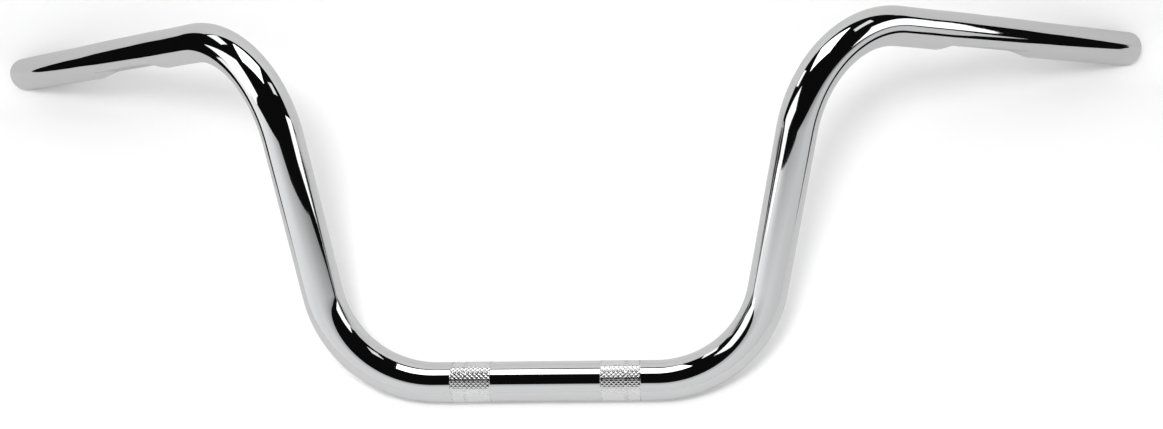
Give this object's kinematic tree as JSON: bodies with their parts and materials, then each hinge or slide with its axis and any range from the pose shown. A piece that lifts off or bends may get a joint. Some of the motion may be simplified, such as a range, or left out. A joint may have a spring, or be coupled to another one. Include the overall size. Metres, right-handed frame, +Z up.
{
  "type": "motorbike handlebar",
  "caption": "High rise motorbike handlebar bent from one chrome tube, with knurled clamp bands in the middle and a dimple for the wiring under each grip.",
  "frame": {"origin": "middle of the clamp section, on the tube's axis", "axes": "+X along the clamp section to the right grip, +Y back to the rider, +Z up along the legs"},
  "size_m": [0.878, 0.2029, 0.2463],
  "materials": {
    "chrome": "polished"
  },
  "bodies": {
    "root": {"handlebar": "chrome"}
  },
  "joints": []
}
